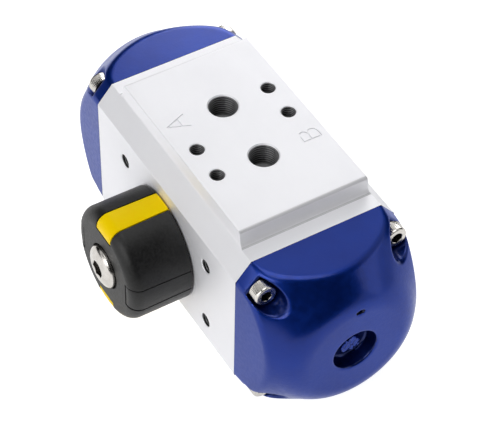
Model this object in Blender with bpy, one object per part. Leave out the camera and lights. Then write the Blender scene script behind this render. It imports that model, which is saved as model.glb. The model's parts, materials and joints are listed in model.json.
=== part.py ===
"""Double-acting rack-and-pinion pneumatic rotary actuator, with position indicator.

Frame: +X runs along the piston bore, -Y along the drive shaft and out of the position
indicator, +Y out of the valve flange, +Z out of the solenoid-valve pad.  The origin is
the centre of the flat underside that the actuator lies on.
"""
import math

import bmesh
import bpy
from mathutils import Matrix, Vector

MM = 0.001
GAP = 0.3 * MM

# Body: an octagonal extrusion along X with a raised valve pad on top.
BODY_LENGTH = 84.5 * MM
BODY_WIDTH = 55.0 * MM
BODY_HEIGHT = 55.5 * MM
CORNER_ACROSS = 5.2 * MM
CORNER_DOWN = 6.3 * MM
PAD_HEIGHT = 5.5 * MM
PAD_LENGTH = 68.0 * MM
PAD_FOOT_LENGTH = 73.0 * MM
PAD_WIDTH = 44.0 * MM
AXIS_HEIGHT = 26.7 * MM
BORE_RADIUS = 18.0 * MM
TOTAL_HEIGHT = BODY_HEIGHT + PAD_HEIGHT

# Solenoid-valve pad: two air ports and four M5 holes, to VDI/VDE 3845.
PORT_SPACING = 24.0 * MM
PORT_RADIUS = 4.3 * MM
PORT_DEPTH = 8.0 * MM
PORT_MOUTH = 0.7 * MM
PORT_PASSAGE_RADIUS = 1.75 * MM
PAD_SCREW_ROW = 16.0 * MM
M5_RADIUS = 2.1 * MM
M5_DEPTH = 8.0 * MM
M5_MOUTH = 0.4 * MM
AIR_CHANNEL_RADIUS = 1.5 * MM
AIR_CHANNEL_OFFSET = 8.0 * MM
AIR_CHANNEL_RING = 21.7 * MM

# Accessory pattern beside the indicator, and the valve flange on the far side.
ACCESSORY_SPACING_X = 50.0 * MM
ACCESSORY_SPACING_Z = 25.0 * MM
FLANGE_BOLT_CIRCLE = 42.0 * MM
SPIGOT_RADIUS = 15.0 * MM
SPIGOT_DEPTH = 1.5 * MM

# End caps: a drafted octagon cut by a turned dome.
CAP_DEPTH = 23.5 * MM
CAP_DRAFT = 0.07
CAP_CAVITY_RADIUS = 17.5 * MM
CAP_RECESS_RADIUS = 7.5 * MM
CAP_RECESS_DEPTH = 4.5 * MM
SCREW_ACROSS = 22.5 * MM
SCREW_UP = 21.7 * MM
SCREW_HEAD_RADIUS = 3.5 * MM
SCREW_HEAD_HEIGHT = 4.0 * MM
SCREW_SHANK_RADIUS = 2.0 * MM
SCREW_SHANK_LENGTH = 15.0 * MM
SCREW_SEAT = 4.5 * MM
POCKET_RADIUS = 4.3 * MM
SEAL_RING_RADIUS = 24.4 * MM
SEAL_SECTION_RADIUS = 1.0 * MM

# Gear pair: one pinion between two opposed racks.
MODULE = 1.0 * MM
PINION_TEETH = 14
PRESSURE_ANGLE = math.radians(20.0)
BACKLASH = 0.35 * MM
ADDENDUM = 0.9 * MM
DEDENDUM = 1.35 * MM
PITCH_RADIUS = MODULE * PINION_TEETH / 2
GEAR_HALF_WIDTH = 11.0 * MM

# Pinion shaft, measured along local Z, which points out of the indicator side.
WALL_FACE = BODY_WIDTH / 2
FRONT_JOURNAL_RADIUS = 7.5 * MM
REAR_JOURNAL_RADIUS = 9.5 * MM
FRONT_HOLE_RADIUS = 9.0 * MM
REAR_HOLE_RADIUS = 11.5 * MM
SHAFT_TOP = 40.0 * MM
FLAT_START = 31.0 * MM
FLAT_HALF_WIDTH = 6.0 * MM
SOCKET_SIDE = 9.0 * MM
SOCKET_DEPTH = 11.0 * MM
INDICATOR_THREAD_RADIUS = 4.3 * MM

# Pistons, measured along local Z, which points out of the cap.
PISTON_RADIUS = 17.7 * MM
PISTON_BACK = 17.0 * MM
PISTON_FRONT = 28.5 * MM
RACK_END = -15.0 * MM
RACK_HALF_WIDTH = 7.0 * MM
RACK_BACK = 13.0 * MM
PISTON_SEAL_RADIUS = 16.0 * MM
PISTON_SEAL_SECTION = 1.3 * MM

# Position indicator: a round knob with four inlaid bars.
KNOB_RADIUS = 18.6 * MM
KNOB_BACK = 28.0 * MM
KNOB_FRONT = 48.6 * MM
KNOB_EDGE = 4.0 * MM
KNOB_CAVITY_RADIUS = 12.0 * MM
KNOB_HUB_RADIUS = 9.8 * MM
BAR_WIDTH = 8.0 * MM
BAR_FLOOR = 13.5 * MM
HEAD_RECESS_RADIUS = 7.6 * MM
HEAD_RECESS_DEPTH = 1.3 * MM
INDICATOR_HEAD_RADIUS = 7.0 * MM
INDICATOR_HEAD_RIM = 1.6 * MM
INDICATOR_HEAD_HEIGHT = 3.6 * MM

# Ways a piece can face: local Z points out, local Y points up.
FACING_UP = Matrix.Identity(4)
FACING_RIGHT = Matrix(((0, 0, 1, 0), (1, 0, 0, 0), (0, 1, 0, 0), (0, 0, 0, 1)))
FACING_LEFT = Matrix.Rotation(math.pi, 4, "Z") @ FACING_RIGHT
FACING_FRONT = Matrix.Rotation(math.pi / 2, 4, "X")
FACING_REAR = Matrix.Rotation(math.pi, 4, "Z") @ FACING_FRONT
OPPOSED_PISTON = Matrix.Rotation(math.pi, 4, "Y") @ FACING_RIGHT

SHARP_ANGLE = math.radians(30.0)


# Materials

def material(name, colour, roughness, metallic):
    """One Principled material, made once and shared by name."""
    found = bpy.data.materials.get(name)
    if found:
        return found
    made = bpy.data.materials.new(name)
    made.use_nodes = True
    shader = made.node_tree.nodes["Principled BSDF"]
    shader.inputs["Base Color"].default_value = (*colour, 1.0)
    shader.inputs["Roughness"].default_value = roughness
    shader.inputs["Metallic"].default_value = metallic
    made.diffuse_color = (*colour, 1.0)
    return made


def anodised():
    return material("anodised_aluminium", (0.78, 0.78, 0.80), 0.38, 1.0)


def blue_coating():
    return material("blue_cap", (0.02, 0.06, 0.36), 0.38, 0.0)


def stainless():
    return material("stainless_steel", (0.62, 0.60, 0.57), 0.25, 1.0)


def seal_rubber():
    return material("seal_rubber", (0.02, 0.02, 0.02), 0.6, 0.0)


def bearing_plastic():
    return material("bearing_plastic", (0.80, 0.78, 0.70), 0.5, 0.0)


def piston_aluminium():
    return material("piston_aluminium", (0.60, 0.61, 0.62), 0.45, 1.0)


def drive_steel():
    return material("drive_steel", (0.45, 0.45, 0.46), 0.35, 1.0)


def black_plastic():
    return material("black_plastic", (0.012, 0.012, 0.013), 0.4, 0.0)


def yellow_plastic():
    return material("yellow_plastic", (0.90, 0.62, 0.01), 0.4, 0.0)


# Shapes

def extruded(outline, start, end):
    """A closed outline in local XY, extruded along Z from start to end."""
    shape = bmesh.new()
    corners = [shape.verts.new((x, y, start)) for x, y in outline]
    face = shape.faces.new(corners)
    grown = bmesh.ops.extrude_face_region(shape, geom=[face])
    moved = [item for item in grown["geom"] if isinstance(item, bmesh.types.BMVert)]
    bmesh.ops.translate(shape, verts=moved, vec=(0, 0, end - start))
    bmesh.ops.recalc_face_normals(shape, faces=shape.faces)
    return shape


def turned(profile, segments=36, ring=False):
    """A profile of (radius, height) points, spun about local Z.

    A ring's profile is closed.  Any other profile starts and ends on the axis.
    """
    shape = bmesh.new()
    points = [shape.verts.new((radius, 0, height)) for radius, height in profile]
    edges = [shape.edges.new(pair) for pair in zip(points, points[1:])]
    if ring:
        edges.append(shape.edges.new((points[-1], points[0])))
    bmesh.ops.spin(shape, geom=points + edges, cent=(0, 0, 0), axis=(0, 0, 1),
                   angle=2 * math.pi, steps=segments, use_merge=True)
    bmesh.ops.remove_doubles(shape, verts=shape.verts, dist=0.01 * MM)
    bmesh.ops.recalc_face_normals(shape, faces=shape.faces)
    return shape


def box(low, high):
    """A block between two corners."""
    outline = [(low[0], low[1]), (high[0], low[1]), (high[0], high[1]), (low[0], high[1])]
    return extruded(outline, low[2], high[2])


def placed(shape, matrix, position=(0, 0, 0)):
    """Turn a shape with a matrix, then move it."""
    bmesh.ops.transform(shape, matrix=Matrix.Translation(position) @ matrix, verts=shape.verts)
    return shape


def add(name, shape, finish, matrix=FACING_UP, position=(0, 0, 0), parent=None):
    """Make a named object from a shape.  A parent is an empty without rotation."""
    mesh = bpy.data.meshes.new(name)
    shape.to_mesh(mesh)
    shape.free()
    mesh.shade_smooth()
    mesh.set_sharp_from_angle(angle=SHARP_ANGLE)
    mesh.materials.append(finish)
    made = bpy.data.objects.new(name, mesh)
    bpy.context.scene.collection.objects.link(made)
    made.parent = parent
    made.rotation_euler = matrix.to_euler()
    made.location = position
    return made


def boolean(target, operation, shapes):
    """Give a piece a Boolean modifier whose operands are hidden wire objects."""
    operands = bpy.data.collections.new(f"{target.name}_{operation.lower()}")
    bpy.context.scene.collection.children.link(operands)
    for number, shape in enumerate(shapes, 1):
        mesh = bpy.data.meshes.new(f"{operands.name}_{number}")
        shape.to_mesh(mesh)
        shape.free()
        cutter = bpy.data.objects.new(mesh.name, mesh)
        cutter.parent = target
        cutter.hide_render = True
        cutter.display_type = "WIRE"
        operands.objects.link(cutter)
    modifier = target.modifiers.new(operation.title(), "BOOLEAN")
    modifier.operation = operation
    modifier.operand_type = "COLLECTION"
    modifier.collection = operands
    modifier.solver = "EXACT"


def axis_empty(name, position):
    """An empty on a joint's axis, which the moving pieces hang from."""
    empty = bpy.data.objects.new(name, None)
    empty.location = position
    empty.empty_display_size = 0.01
    bpy.context.scene.collection.objects.link(empty)
    return empty


# Outlines

def octagon(bottom, top, half_width, across, down):
    """An octagon with its long sides upright, from its corner sizes."""
    inner = half_width - across
    right = [(inner, bottom), (half_width, bottom + down), (half_width, top - down), (inner, top)]
    left = [(-x, y) for x, y in reversed(right)]
    return right + left


def star_square(side):
    """Two squares turned 45 degrees to each other, as one eight-pointed outline."""
    outer = side / math.sqrt(2)
    inner = side / 2 / math.cos(math.pi / 8)
    points = []
    for step in range(16):
        radius = outer if step % 2 == 0 else inner
        angle = math.pi / 4 + step * math.pi / 8
        points.append((radius * math.cos(angle), radius * math.sin(angle)))
    return points


def involute(angle):
    return math.tan(angle) - angle


def pinion_outline():
    """The gear's outline, with a gap between teeth at the top and the bottom."""
    base = PITCH_RADIUS * math.cos(PRESSURE_ANGLE)
    tip = PITCH_RADIUS + ADDENDUM
    root = PITCH_RADIUS - DEDENDUM
    thickness = math.pi * MODULE / 2 - BACKLASH
    spread = thickness / (2 * PITCH_RADIUS) + involute(PRESSURE_ANGLE)
    flank = [(root, spread)]
    for radius in (base, PITCH_RADIUS, tip):
        flank.append((radius, spread - involute(math.acos(base / radius))))
    points = []
    for tooth in range(PINION_TEETH):
        centre = math.pi / 2 + (tooth + 0.5) * 2 * math.pi / PINION_TEETH
        sides = [(r, centre - a) for r, a in flank] + [(r, centre + a) for r, a in reversed(flank)]
        points += [(r * math.cos(a), r * math.sin(a)) for r, a in sides]
    return points


def rack_outline():
    """The rack's side view: teeth towards +v, with one tooth centred at zero."""
    pitch = math.pi * MODULE
    half = (pitch / 2 - BACKLASH) / 2
    lean = math.tan(PRESSURE_ANGLE)
    tip = -(PITCH_RADIUS - ADDENDUM)
    root = -(PITCH_RADIUS + DEDENDUM)
    points = [(PISTON_BACK + GAP, -RACK_BACK), (PISTON_BACK + GAP, root)]
    for tooth in range(1, -5, -1):
        centre = tooth * pitch
        points += [(centre + half + DEDENDUM * lean, root), (centre + half - ADDENDUM * lean, tip),
                   (centre - half + ADDENDUM * lean, tip), (centre - half - DEDENDUM * lean, root)]
    points += [(RACK_END, root), (RACK_END, -RACK_BACK)]
    return points


# Cutter shapes

def drilled(radius, depth, mouth):
    """A blind hole along local -Z from the origin, with a countersunk mouth and a drill point."""
    above = 1.0 * MM
    return turned([(0, -depth - radius * 0.5), (radius, -depth), (radius, -mouth),
                   (radius + mouth, 0), (radius + mouth, above), (0, above)], 20)


def rod(radius, start, end, segments=16):
    return turned([(0, start), (radius, start), (radius, end), (0, end)], segments)


def ring_groove(inner, outer, start, end, segments=36):
    return turned([(inner, start), (outer, start), (outer, end), (inner, end)], segments, ring=True)


def o_ring(radius, section, height):
    """A torus about local Z."""
    profile = []
    for step in range(6):
        angle = step * math.pi / 3
        profile.append((radius + section * math.cos(angle), height + section * math.sin(angle)))
    return turned(profile, 28, ring=True)


# Places that several pieces share

def drive_axis():
    return (0, 0, AXIS_HEIGHT)


def air_channel():
    """Y and Z of the channel that feeds the two end chambers."""
    rise = math.sqrt(AIR_CHANNEL_RING ** 2 - AIR_CHANNEL_OFFSET ** 2)
    return AIR_CHANNEL_OFFSET, AXIS_HEIGHT + rise


def corner_screws():
    """Y and Z of the four screws in each cap."""
    middle = BODY_HEIGHT / 2
    return [(y * SCREW_ACROSS, middle + z * SCREW_UP) for z in (1, -1) for y in (-1, 1)]


# Pieces

def pad_shape():
    """The raised pad, seen from the front, with rounded ends above a steep foot."""
    top = TOTAL_HEIGHT
    half = [(PAD_FOOT_LENGTH / 2, BODY_HEIGHT - 4 * MM), (PAD_FOOT_LENGTH / 2, BODY_HEIGHT),
            (PAD_LENGTH / 2 + 1.8 * MM, top - 3.7 * MM), (PAD_LENGTH / 2 + 1.4 * MM, top - 1.1 * MM),
            (PAD_LENGTH / 2 + 0.8 * MM, top - 0.35 * MM), (PAD_LENGTH / 2, top)]
    outline = half + [(-x, z) for x, z in reversed(half)]
    return placed(extruded(outline, -PAD_WIDTH / 2, PAD_WIDTH / 2), FACING_FRONT)


def body_cutters():
    face = BODY_WIDTH / 2
    end = BODY_LENGTH / 2
    over = end + 2 * MM
    axis = Vector(drive_axis())
    channel_y, channel_z = air_channel()
    cutters = [placed(rod(BORE_RADIUS, -over, over, 40), FACING_RIGHT, axis),
               placed(rod(FRONT_HOLE_RADIUS, 0, face + 2 * MM, 32), FACING_FRONT, axis),
               placed(rod(REAR_HOLE_RADIUS, 0, face + 2 * MM, 32), FACING_REAR, axis),
               placed(rod(SPIGOT_RADIUS, face - SPIGOT_DEPTH, face + 2 * MM, 32), FACING_REAR, axis),
               placed(rod(AIR_CHANNEL_RADIUS, -over, over, 12), FACING_RIGHT, (0, channel_y, channel_z))]
    cutters += pad_cutters(channel_y, channel_z)
    for x in (-0.5, 0.5):
        for z in (-0.5, 0.5):
            place = (x * ACCESSORY_SPACING_X, -face, AXIS_HEIGHT + z * ACCESSORY_SPACING_Z)
            cutters.append(placed(drilled(M5_RADIUS, M5_DEPTH, M5_MOUTH), FACING_FRONT, place))
    for quarter in range(4):
        angle = math.pi / 4 + quarter * math.pi / 2
        reach = FLANGE_BOLT_CIRCLE / 2
        place = (reach * math.cos(angle), face, AXIS_HEIGHT + reach * math.sin(angle))
        cutters.append(placed(drilled(M5_RADIUS, M5_DEPTH, M5_MOUTH), FACING_REAR, place))
    hole_radius = SCREW_SHANK_RADIUS + GAP
    for y, z in corner_screws():
        for side, facing in ((1, FACING_RIGHT), (-1, FACING_LEFT)):
            hole = rod(hole_radius, -SCREW_SHANK_LENGTH + 3 * MM, MM, 12)
            cutters.append(placed(hole, facing, (side * end, y, z)))
    return cutters


def pad_cutters(channel_y, channel_z):
    """Air ports A and B, their inner passages, and the four M5 holes."""
    top = TOTAL_HEIGHT
    port = PORT_SPACING / 2
    cutters = [placed(drilled(PORT_RADIUS, PORT_DEPTH, PORT_MOUTH), FACING_UP, (x, 0, top))
               for x in (-port, port)]
    centre_passage = rod(PORT_PASSAGE_RADIUS, AXIS_HEIGHT, top - 2 * MM, 12)
    cutters.append(placed(centre_passage, FACING_UP, (-port, 0, 0)))
    start = Vector((port, 1 * MM, top - PORT_DEPTH + MM))
    run = Vector((port, channel_y, channel_z)) - start
    slanted = rod(1.2 * MM, 0, run.length, 12)
    cutters.append(placed(slanted, run.to_track_quat("Z", "Y").to_matrix().to_4x4(), start))
    for x, y in ((-port, PAD_SCREW_ROW), (0, PAD_SCREW_ROW), (0, -PAD_SCREW_ROW), (port, -PAD_SCREW_ROW)):
        cutters.append(placed(drilled(M5_RADIUS, M5_DEPTH, M5_MOUTH), FACING_UP, (x, y, top)))
    return cutters


def make_body():
    outline = octagon(0, BODY_HEIGHT, BODY_WIDTH / 2, CORNER_ACROSS, CORNER_DOWN)
    shape = placed(extruded(outline, -BODY_LENGTH / 2, BODY_LENGTH / 2), FACING_RIGHT)
    body = add("body", shape, anodised())
    boolean(body, "UNION", [pad_shape()])
    boolean(body, "DIFFERENCE", body_cutters())


def drafted_octagon():
    """The cap's four flats and four corners, which lean inwards with height."""
    bottom = -AXIS_HEIGHT
    top = BODY_HEIGHT - AXIS_HEIGHT
    height = CAP_DEPTH + 2 * MM
    lean = CAP_DRAFT * height
    low = octagon(bottom, top, BODY_WIDTH / 2, CORNER_ACROSS, CORNER_DOWN)
    high = octagon(bottom + lean, top - lean, BODY_WIDTH / 2 - lean, CORNER_ACROSS, CORNER_DOWN)
    shape = extruded(low, 0, height)
    raised = sorted(shape.verts, key=lambda vert: vert.co.z)[len(low):]
    for vert in raised:
        nearest = min(range(len(low)), key=lambda i: (vert.co.xy - Vector(low[i])).length)
        vert.co.xy = high[nearest]
    return shape


def dome():
    """The turned outside of a cap: a nose disc, a soft shoulder and a steep, slightly hollow flare."""
    nose = CAP_DEPTH
    profile = [(0, -2), (38, -2), (37.2, 0), (36.4, 2.4), (35.3, 5.0), (33.8, 7.8), (32, 10.4), (30, 12.8),
               (27.5, 15.3), (25, 18.0), (23, 20.4), (21.8, 22.0), (20.6, 23.0), (18.8, 23.5)]
    points = [(radius * MM, height * MM) for radius, height in profile]
    return turned(points + [(0, nose)], 48)


def cap_cutters():
    nose = CAP_DEPTH
    floor = nose - CAP_RECESS_DEPTH
    cavity = turned([(0, -MM), (CAP_CAVITY_RADIUS, -MM), (CAP_CAVITY_RADIUS, 9 * MM), (15 * MM, 13 * MM),
                     (10 * MM, 15.5 * MM), (0, 15.5 * MM)], 32)
    recess = turned([(0, floor + 1.6 * MM), (1.4 * MM, floor + 1.4 * MM), (1.9 * MM, floor),
                     (CAP_RECESS_RADIUS - 0.9 * MM, floor), (CAP_RECESS_RADIUS, nose),
                     (CAP_RECESS_RADIUS, nose + MM), (0, nose + MM)], 28)
    cutters = [cavity, recess]
    channel_y, channel_z = air_channel()
    for side in (-1, 1):
        lean = math.atan2(channel_z - AXIS_HEIGHT, side * channel_y)
        slot = box((CAP_CAVITY_RADIUS - 2 * MM, -1.5 * MM, -MM), (AIR_CHANNEL_RING + 1.2 * MM, 1.5 * MM, 3.5 * MM))
        cutters.append(placed(slot, Matrix.Rotation(lean, 4, "Z")))
    for y, z in corner_screws():
        place = (y, z - AXIS_HEIGHT, 0)
        cutters.append(placed(rod(POCKET_RADIUS, SCREW_SEAT, CAP_DEPTH + 3 * MM, 20), FACING_UP, place))
        cutters.append(placed(rod(SCREW_SHANK_RADIUS + GAP, -MM, SCREW_SEAT + MM, 12), FACING_UP, place))
    return cutters


def make_end_cap(side, facing, face):
    cap = add(f"end_cap_{side}", drafted_octagon(), blue_coating(), facing, face)
    boolean(cap, "INTERSECT", [dome()])
    boolean(cap, "DIFFERENCE", cap_cutters())
    boolean(cap, "DIFFERENCE", [ring_groove(SEAL_RING_RADIUS - SEAL_SECTION_RADIUS - GAP,
                                            SEAL_RING_RADIUS + SEAL_SECTION_RADIUS + GAP,
                                            -MM, 2 * SEAL_SECTION_RADIUS + GAP)])
    height = SEAL_SECTION_RADIUS + 0.15 * MM
    add(f"cap_seal_{side}", o_ring(SEAL_RING_RADIUS, SEAL_SECTION_RADIUS, height), seal_rubber(), facing, face)


def hexagon(across_flats):
    radius = across_flats / math.sqrt(3)
    return [(radius * math.cos(i * math.pi / 3), radius * math.sin(i * math.pi / 3)) for i in range(6)]


def cap_screw_shape():
    """An M4 socket-head screw: its head stands on z = 0."""
    head = SCREW_HEAD_HEIGHT
    edge = 0.4 * MM
    return turned([(0, -SCREW_SHANK_LENGTH), (SCREW_SHANK_RADIUS - edge, -SCREW_SHANK_LENGTH),
                   (SCREW_SHANK_RADIUS, -SCREW_SHANK_LENGTH + edge), (SCREW_SHANK_RADIUS, 0),
                   (SCREW_HEAD_RADIUS, 0), (SCREW_HEAD_RADIUS, head - edge),
                   (SCREW_HEAD_RADIUS - edge, head), (0, head)], 14)


def make_cap_screws(side, facing, face):
    outward = facing.to_3x3() @ Vector((0, 0, 1))
    for number, (y, z) in enumerate(corner_screws(), 1):
        seat = Vector((face[0], y, z)) + outward * (SCREW_SEAT + GAP)
        screw = add(f"cap_screw_{side}_{number}", cap_screw_shape(), stainless(), facing, seat)
        socket = extruded(hexagon(3 * MM), SCREW_HEAD_HEIGHT - 2 * MM, SCREW_HEAD_HEIGHT + MM)
        boolean(screw, "DIFFERENCE", [socket])


def make_piston(side, facing):
    """A piston head with its rack, seal, guide ring and rack pad, on a sliding empty."""
    slide = axis_empty(f"piston_{side}_axis", drive_axis())
    seal_height = PISTON_BACK + 4.2 * MM
    guide_height = PISTON_BACK + 8.6 * MM
    crown = turned([(0, PISTON_BACK), (PISTON_RADIUS - MM, PISTON_BACK), (PISTON_RADIUS, PISTON_BACK + MM),
                    (PISTON_RADIUS, PISTON_FRONT - MM), (PISTON_RADIUS - MM, PISTON_FRONT),
                    (0, PISTON_FRONT)], 36)
    piston = add(f"piston_{side}", crown, piston_aluminium(), facing, parent=slide)
    arm = extruded(rack_outline(), -RACK_HALF_WIDTH, RACK_HALF_WIDTH)
    lay_down = Matrix(((0, 0, 1, 0), (0, 1, 0, 0), (1, 0, 0, 0), (0, 0, 0, 1)))
    arm = placed(arm, lay_down)
    bmesh.ops.recalc_face_normals(arm, faces=arm.faces)
    boolean(piston, "UNION", [arm])
    seal_inner = PISTON_SEAL_RADIUS - PISTON_SEAL_SECTION - GAP
    guide_inner = PISTON_RADIUS - 1.8 * MM
    boolean(piston, "DIFFERENCE", [
        ring_groove(seal_inner, PISTON_RADIUS + MM, seal_height - 1.7 * MM, seal_height + 1.7 * MM),
        ring_groove(guide_inner, PISTON_RADIUS + MM, guide_height - 1.4 * MM, guide_height + 1.4 * MM)])
    add(f"piston_seal_{side}", o_ring(PISTON_SEAL_RADIUS, PISTON_SEAL_SECTION, seal_height),
        seal_rubber(), facing, parent=slide)
    add(f"piston_guide_{side}", ring_groove(guide_inner + GAP, PISTON_RADIUS - 0.05 * MM,
                                            guide_height - 1.1 * MM, guide_height + 1.1 * MM),
        bearing_plastic(), facing, parent=slide)
    add(f"rack_pad_{side}", rack_pad_shape(), bearing_plastic(), facing, parent=slide)


def rack_pad_shape():
    """The sliding pad between the rack's back and the bore wall."""
    back = -(RACK_BACK + GAP)
    steps = 8
    reach = PISTON_RADIUS - 0.05 * MM
    half = math.asin(RACK_HALF_WIDTH / reach)
    arc = []
    for step in range(steps + 1):
        angle = -math.pi / 2 - half + 2 * half * step / steps
        arc.append((reach * math.cos(angle), reach * math.sin(angle)))
    return extruded(arc + [(RACK_HALF_WIDTH, back), (-RACK_HALF_WIDTH, back)], RACK_END + MM, PISTON_BACK - MM)


def make_pinion(drive):
    """The drive shaft: gear, journals, flats for the knob, and the star socket for the valve stem."""
    rear = -(WALL_FACE - GAP)
    front = SHAFT_TOP
    circlip = WALL_FACE + 1.35 * MM
    gear = GEAR_HALF_WIDTH
    journals = turned([(0, rear), (REAR_JOURNAL_RADIUS, rear), (REAR_JOURNAL_RADIUS, -23.0 * MM),
                       (8.3 * MM, -23.0 * MM), (8.3 * MM, -19.2 * MM), (REAR_JOURNAL_RADIUS, -19.2 * MM),
                       (REAR_JOURNAL_RADIUS, -gear - 2 * MM), (5.6 * MM, -gear), (5.6 * MM, gear),
                       (9.3 * MM, gear + MM), (9.3 * MM, 15.0 * MM), (FRONT_JOURNAL_RADIUS, 15.0 * MM),
                       (FRONT_JOURNAL_RADIUS, 19.6 * MM), (6.1 * MM, 19.6 * MM), (6.1 * MM, 22.8 * MM),
                       (FRONT_JOURNAL_RADIUS, 22.8 * MM), (FRONT_JOURNAL_RADIUS, circlip),
                       (6.6 * MM, circlip), (6.6 * MM, circlip + 1.6 * MM),
                       (FRONT_JOURNAL_RADIUS, circlip + 1.6 * MM), (FRONT_JOURNAL_RADIUS, front - MM),
                       (FRONT_JOURNAL_RADIUS - MM, front), (0, front)], 28)
    pinion = add("drive_pinion", journals, drive_steel(), FACING_FRONT, parent=drive)
    boolean(pinion, "UNION", [extruded(pinion_outline(), -gear + 0.5 * MM, gear - 0.2 * MM)])
    wide = 12 * MM
    flats = [box((side, -wide, FLAT_START), (side + wide, wide, front + MM))
             for side in (FLAT_HALF_WIDTH, -FLAT_HALF_WIDTH - wide)]
    socket = extruded(star_square(SOCKET_SIDE), rear - MM, rear + SOCKET_DEPTH)
    tapped = rod(INDICATOR_THREAD_RADIUS, front - 14 * MM, front + MM, 20)
    boolean(pinion, "DIFFERENCE", flats + [socket, tapped])


def make_shaft_fittings(drive):
    """Bushes in the body, and the seals, washer and ring that turn with the pinion."""
    face = WALL_FACE
    add("front_bush", ring_groove(FRONT_JOURNAL_RADIUS + GAP, FRONT_HOLE_RADIUS - GAP,
                                  face - 4 * MM, face - GAP, 32), bearing_plastic(), FACING_FRONT, drive_axis())
    add("rear_bush", ring_groove(REAR_JOURNAL_RADIUS + GAP, REAR_HOLE_RADIUS - GAP,
                                 face - 4.3 * MM, face - SPIGOT_DEPTH - GAP, 32),
        bearing_plastic(), FACING_REAR, drive_axis())
    add("front_shaft_seal", o_ring(7.55 * MM, 1.1 * MM, 21.2 * MM), seal_rubber(), FACING_FRONT, parent=drive)
    add("rear_shaft_seal", o_ring(9.9 * MM, 1.25 * MM, -21.1 * MM), seal_rubber(), FACING_FRONT, parent=drive)
    add("thrust_washer", ring_groove(FRONT_JOURNAL_RADIUS + GAP, 11.8 * MM, face + GAP, face + MM, 32),
        bearing_plastic(), FACING_FRONT, parent=drive)
    clip = add("retaining_ring", ring_groove(6.9 * MM, 10.6 * MM, face + 1.6 * MM, face + 2.65 * MM, 32),
               drive_steel(), FACING_FRONT, parent=drive)
    boolean(clip, "DIFFERENCE", [box((-2.2 * MM, 0, face), (2.2 * MM, 12 * MM, face + 4 * MM))])


def knob_outside():
    """The knob's outer form, with a quarter-round front edge, as a turned solid."""
    radius = KNOB_RADIUS
    centre = (radius - KNOB_EDGE, KNOB_FRONT - KNOB_EDGE)
    edge = []
    for step in range(6):
        angle = step * math.pi / 10
        edge.append((centre[0] + KNOB_EDGE * math.cos(angle), centre[1] + KNOB_EDGE * math.sin(angle)))
    return turned([(0, KNOB_BACK), (radius, KNOB_BACK)] + edge + [(0, KNOB_FRONT)], 48)


def bar_block(quarter, width, floor):
    """The block that cuts one bar, or its slot, out of the knob's outer form."""
    block = box((-width / 2, floor, KNOB_BACK - MM), (width / 2, KNOB_RADIUS + 2 * MM, KNOB_FRONT + MM))
    return placed(block, Matrix.Rotation(quarter * math.pi / 2, 4, "Z"))


def hub_hole():
    """A round hole with two flats, which the shaft's end fits."""
    radius = FRONT_JOURNAL_RADIUS + GAP
    flat = FLAT_HALF_WIDTH + GAP
    limit = math.acos(flat / radius)
    points = []
    for base in (math.pi / 2, -math.pi / 2):
        sweep = math.pi / 2 - limit
        for step in range(9):
            angle = base - sweep + 2 * sweep * step / 8
            points.append((radius * math.cos(angle), radius * math.sin(angle)))
    return points


def make_indicator(drive):
    """The knob, its two yellow and two black bars, and the screw that holds it."""
    knob = add("indicator_knob", knob_outside(), black_plastic(), FACING_FRONT, parent=drive)
    recess_floor = KNOB_FRONT - HEAD_RECESS_DEPTH
    hub_start = FLAT_START
    cavity_top = KNOB_FRONT - 7.2 * MM
    cutters = [bar_block(quarter, BAR_WIDTH + 2 * GAP, BAR_FLOOR - GAP) for quarter in range(4)]
    cutters.append(ring_groove(KNOB_HUB_RADIUS, KNOB_CAVITY_RADIUS, hub_start - MM, cavity_top))
    cutters.append(rod(KNOB_CAVITY_RADIUS, KNOB_BACK - MM, hub_start, 36))
    cutters.append(extruded(hub_hole(), hub_start - MM, SHAFT_TOP + GAP))
    cutters.append(rod(INDICATOR_THREAD_RADIUS, SHAFT_TOP - MM, KNOB_FRONT, 24))
    cutters.append(rod(HEAD_RECESS_RADIUS, recess_floor, KNOB_FRONT + MM, 36))
    boolean(knob, "DIFFERENCE", cutters)
    names = ("indicator_bar_yellow_1", "indicator_bar_black_1", "indicator_bar_yellow_2", "indicator_bar_black_2")
    for quarter, name in enumerate(names):
        finish = yellow_plastic() if "yellow" in name else black_plastic()
        bar = add(name, bar_block(quarter, BAR_WIDTH, BAR_FLOOR), finish, FACING_FRONT, parent=drive)
        boolean(bar, "INTERSECT", [knob_outside()])
    make_indicator_screw(drive, recess_floor + GAP)


def make_indicator_screw(drive, seat):
    """An M8 screw with a low domed head and a hexagon socket."""
    radius = INDICATOR_HEAD_RADIUS
    rim = INDICATOR_HEAD_RIM
    head = INDICATOR_HEAD_HEIGHT
    shank = INDICATOR_THREAD_RADIUS - GAP
    profile = [(0, seat - 16 * MM), (shank, seat - 16 * MM), (shank, seat), (radius, seat),
               (radius, seat + rim)]
    for step in range(1, 5):
        angle = step * math.pi / 12
        profile.append((radius * math.cos(angle), seat + rim + (head - rim) * math.sin(angle)))
    profile += [(3.2 * MM, seat + head), (0, seat + head)]
    screw = add("indicator_screw", turned(profile, 24), stainless(), FACING_FRONT, parent=drive)
    boolean(screw, "DIFFERENCE", [extruded(hexagon(5 * MM), seat + head - 2.8 * MM, seat + head + MM)])


def main():
    for old in list(bpy.data.objects):
        bpy.data.objects.remove(old, do_unlink=True)
    end = BODY_LENGTH / 2 + GAP
    make_body()
    for side, sign, facing in (("right", 1, FACING_RIGHT), ("left", -1, FACING_LEFT)):
        face = (sign * end, 0, AXIS_HEIGHT)
        make_end_cap(side, facing, face)
        make_cap_screws(side, facing, face)
    make_piston("right", FACING_RIGHT)
    make_piston("left", OPPOSED_PISTON)
    drive = axis_empty("drive_axis", drive_axis())
    make_pinion(drive)
    make_shaft_fittings(drive)
    make_indicator(drive)


main()
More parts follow.
